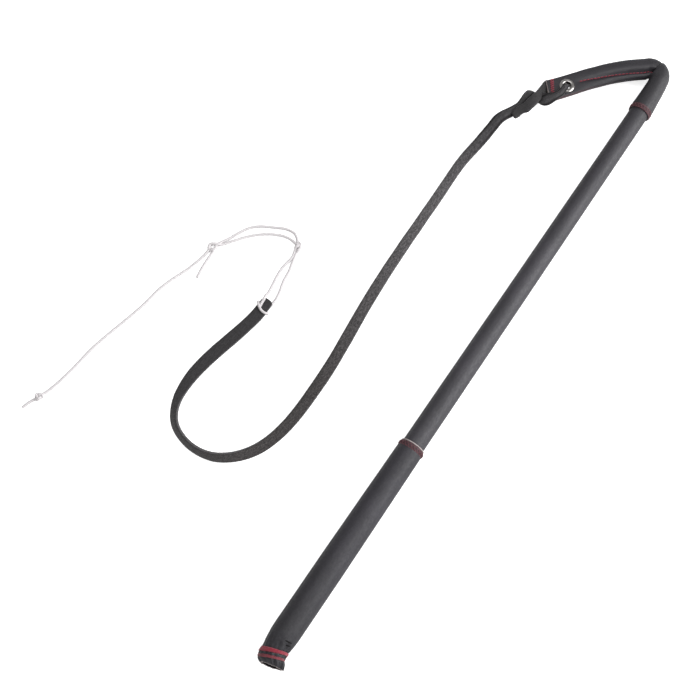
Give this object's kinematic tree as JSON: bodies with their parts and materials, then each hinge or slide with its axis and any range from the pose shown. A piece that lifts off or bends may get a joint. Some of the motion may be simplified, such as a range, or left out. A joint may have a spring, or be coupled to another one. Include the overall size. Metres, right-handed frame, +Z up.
{
  "type": "riding crop",
  "caption": "Leather riding crop with padded grip, tapered covered shaft, folded keeper with eyelet, flat jointed lash and knotted cord cracker.",
  "frame": {"origin": "on the stock's axis, at the middle of the straight part of the grip", "axes": "+X along the stock from butt to tip, +Z up with the crop lying flat, the lash led back on the +Y side"},
  "size_m": [0.6727, 0.3192, 0.0252],
  "materials": {
    "grip_leather": "satin pebbled",
    "shaft_leather": "satin",
    "keeper_leather": "satin",
    "lash_suede": "fuzzy suede",
    "cut_edge": "raw cut edge",
    "red_thread": "waxed braided thread",
    "black_thread": "waxed thread",
    "white_cord": "twisted cord",
    "nickel": "polished nickel",
    "rod_composite": "glass-fibre rod",
    "wrap_cord": "cotton cord",
    "felt": "felt",
    "turned_wood": "turned beech"
  },
  "bodies": {
    "stock": {"core_rod": "rod_composite", "tip_cap": "nickel", "rod_wrap": "wrap_cord", "shaft_cover": "shaft_leather", "shaft_seam_thread": "black_thread", "grip_padding": "felt", "butt_plug": "turned_wood", "grip_sleeve": "grip_leather", "grip_seam_thread": "black_thread", "grip_hem_edge": "cut_edge", "grip_hem_thread": "red_thread", "butt_binding_upper": "red_thread", "butt_binding_lower": "red_thread", "tack_stitches": "black_thread", "keeper_ring_thread": "red_thread", "keeper_socket": "keeper_leather", "keeper_fold_lining": "keeper_leather"},
    "keeper": {"keeper_tongue": "keeper_leather", "keeper_inner_strip": "cut_edge", "eyelet_barrel": "nickel", "eyelet_washer": "nickel", "keeper_seam_thread": "red_thread", "keeper_end_stitches": "red_thread"},
    "lash_head": {"lash_loop": "lash_suede", "lash_braid": "lash_suede", "lash_end_tab": "lash_suede", "lash_strap_1": "lash_suede"},
    "lash_2": {"lash_strap_2": "lash_suede"},
    "lash_3": {"lash_strap_3": "lash_suede"},
    "lash_4": {"lash_strap_4": "lash_suede"},
    "lash_5": {"lash_strap_5": "lash_suede"},
    "lash_6": {"lash_strap_6": "lash_suede"},
    "lash_7": {"lash_strap_7": "lash_suede", "cracker_hitch": "white_cord"},
    "cracker_1": {"cracker_strand_left": "white_cord", "cracker_strand_right": "white_cord", "cracker_knot_1": "white_cord"},
    "cracker_2": {"cracker_eye_outer": "white_cord", "cracker_eye_inner": "white_cord", "cracker_knot_2": "white_cord", "cracker_short_tail": "white_cord"},
    "cracker_3": {"cracker_tail_1": "white_cord"},
    "cracker_4": {"cracker_tail_2": "white_cord", "cracker_knot_3": "white_cord", "cracker_end": "white_cord"}
  },
  "joints": [
    {"name": "keeper_fold", "type": "hinge", "parent": "stock", "child": "keeper", "pos_m": [0.5896, 0.0113, 0], "axis": [0, 0, -1], "range_deg": [0, 130]},
    {"name": "lash_swing", "type": "hinge", "parent": "keeper", "child": "lash_head", "pos_m": [0.5392, 0.0721, -0.0026], "axis": [0, 0, -1], "range_deg": [-8, 75]},
    {"name": "lash_flex_1", "type": "hinge", "parent": "lash_head", "child": "lash_2", "pos_m": [0.39514, 0.11404, -0.01065], "axis": [0, 0, 1], "range_deg": [-40, 14]},
    {"name": "lash_lift_2", "type": "hinge", "parent": "lash_2", "child": "lash_3", "pos_m": [0.28718, 0.11129, -0.01065], "axis": [-0.0512, 0.9987, 0], "range_deg": [0, 50]},
    {"name": "lash_flex_3", "type": "hinge", "parent": "lash_3", "child": "lash_4", "pos_m": [0.18257, 0.10248, -0.01065], "axis": [0, 0, 1], "range_deg": [-8, 35]},
    {"name": "lash_flex_4", "type": "hinge", "parent": "lash_4", "child": "lash_5", "pos_m": [0.09224, 0.10781, -0.01065], "axis": [0, 0, 1], "range_deg": [-5, 60]},
    {"name": "lash_flex_5", "type": "hinge", "parent": "lash_5", "child": "lash_6", "pos_m": [0.05163, 0.16213, -0.009], "axis": [0, 0, 1], "range_deg": [-5, 60]},
    {"name": "lash_flex_6", "type": "hinge", "parent": "lash_6", "child": "lash_7", "pos_m": [0.11779, 0.19785, -0.01065], "axis": [0, 0, 1], "range_deg": [-5, 40]},
    {"name": "cracker_swing", "type": "hinge", "parent": "lash_7", "child": "cracker_1", "pos_m": [0.2036, 0.1843, -0.0113], "axis": [0, 0, -1], "range_deg": [-10, 50]},
    {"name": "cracker_bend_1", "type": "hinge", "parent": "cracker_1", "child": "cracker_2", "pos_m": [0.2598, 0.193, -0.0113], "axis": [0, 0, -1], "range_deg": [-8, 90]},
    {"name": "cracker_bend_2", "type": "hinge", "parent": "cracker_2", "child": "cracker_3", "pos_m": [0.2161, 0.2576, -0.0113], "axis": [0, 0, -1], "range_deg": [-8, 60]},
    {"name": "cracker_bend_3", "type": "hinge", "parent": "cracker_3", "child": "cracker_4", "pos_m": [0.1126, 0.2808, -0.0113], "axis": [0, 0, -1], "range_deg": [-20, 35]}
  ]
}
